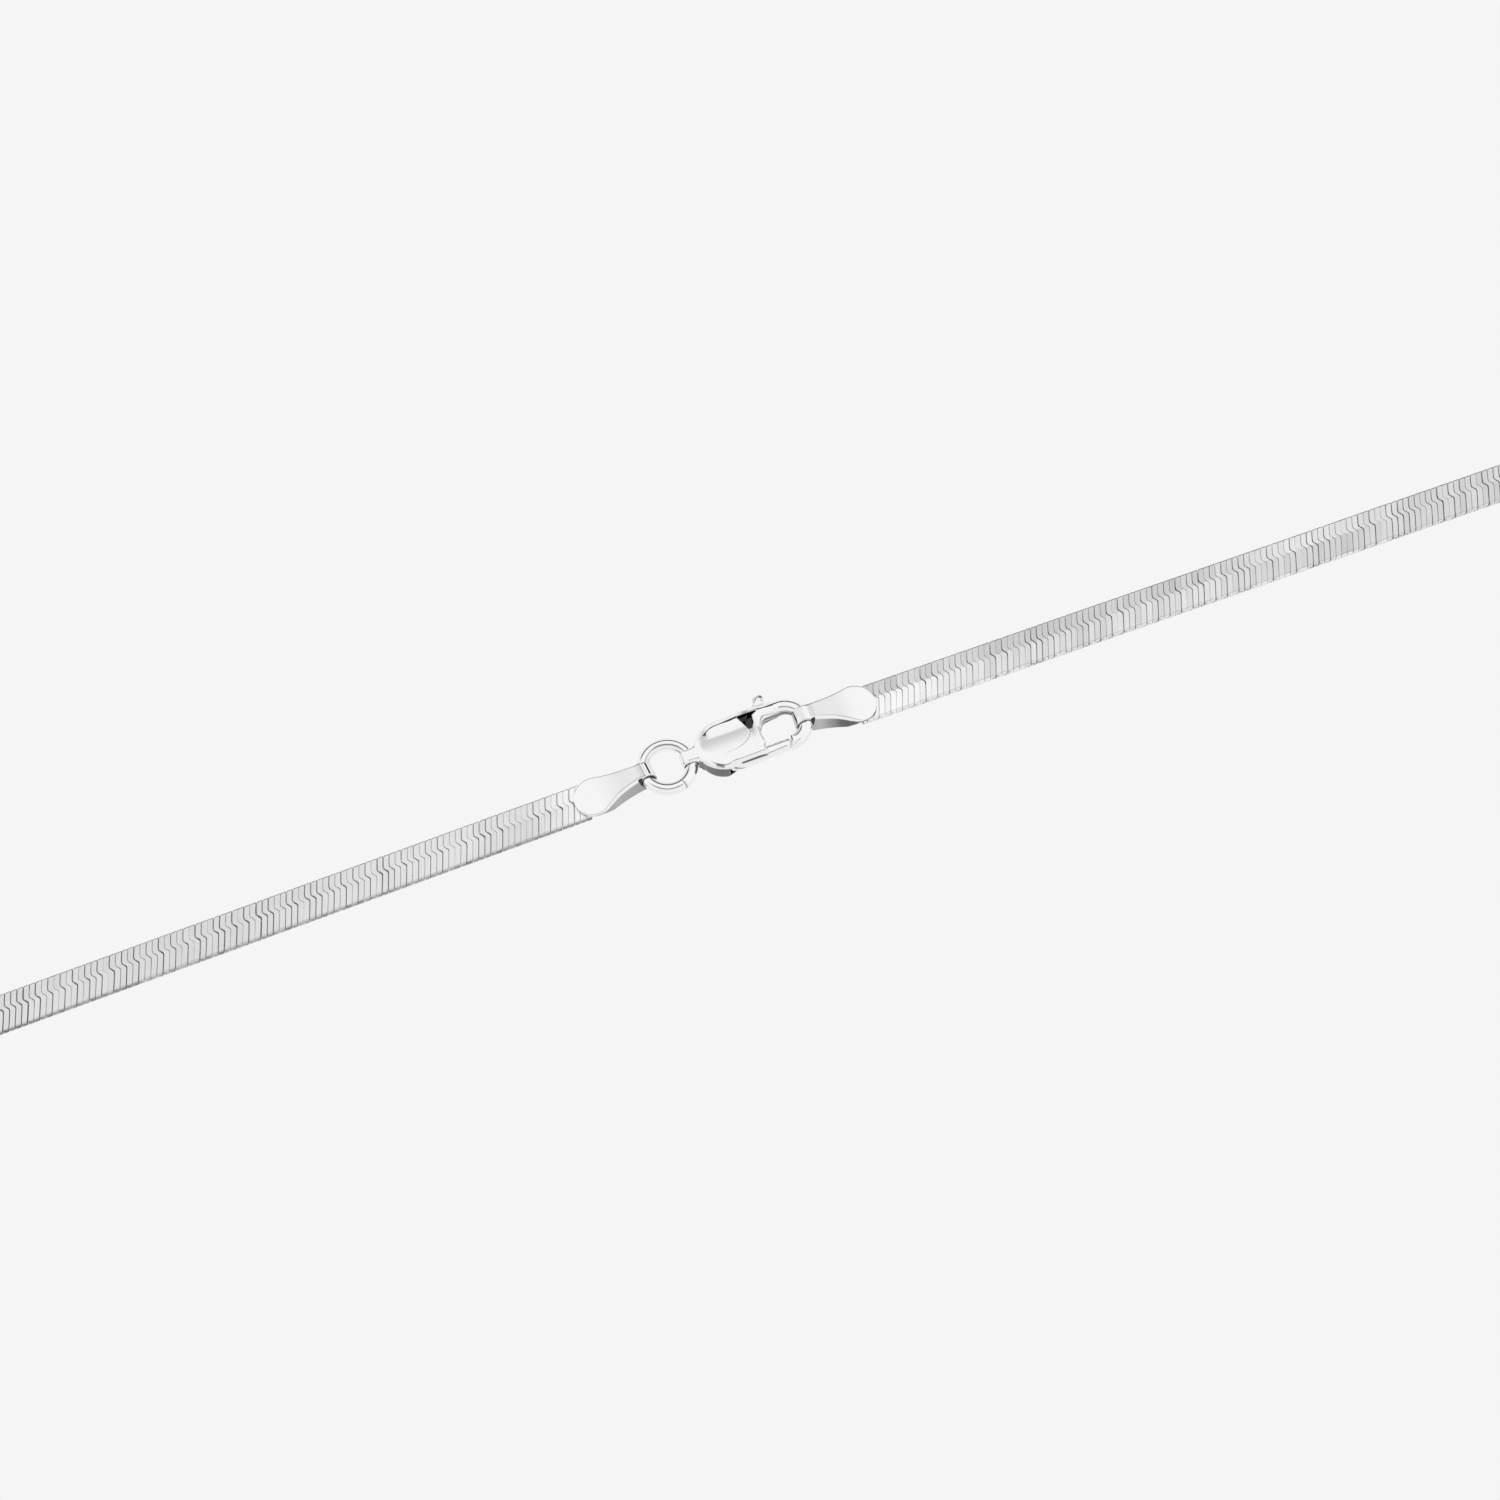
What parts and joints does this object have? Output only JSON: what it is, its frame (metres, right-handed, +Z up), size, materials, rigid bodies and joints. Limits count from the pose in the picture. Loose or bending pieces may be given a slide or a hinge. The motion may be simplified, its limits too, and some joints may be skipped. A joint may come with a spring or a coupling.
{
  "type": "herringbone chain necklace",
  "caption": "Flat herringbone necklace laid in a closed loop, with folded end caps, a jump ring and a lobster clasp that opens with a thumb lever",
  "frame": {"origin": "Under the middle of the whole necklace, on the surface that it lies on.", "axes": "X runs along the straight clasp side of the loop, Y across the loop from its low bend to the clasp, and Z up from the surface."},
  "size_m": [0.1806, 0.1094, 0.0023],
  "materials": {
    "chain": "polished silver",
    "caps": "polished silver",
    "ring": "polished silver wire",
    "clasp": "polished cast silver",
    "lever": "polished cast silver",
    "pin": "drawn silver wire"
  },
  "bodies": {
    "necklace": {"herringbone_chain": "chain", "ring_end_cap": "caps", "clasp_end_cap": "caps", "jump_ring": "ring", "clasp_body": "clasp", "lever_pin": "pin"},
    "lever": {"clasp_lever": "lever"}
  },
  "joints": [
    {"name": "lever_pivot", "type": "hinge", "parent": "necklace", "child": "lever", "pos_m": [0.0016, 0.05037, 0.00115], "axis": [0, 0, 1], "range_deg": [0, 22], "stiffness_Nm_per_rad": 0.004, "springref_deg": -17.19}
  ]
}
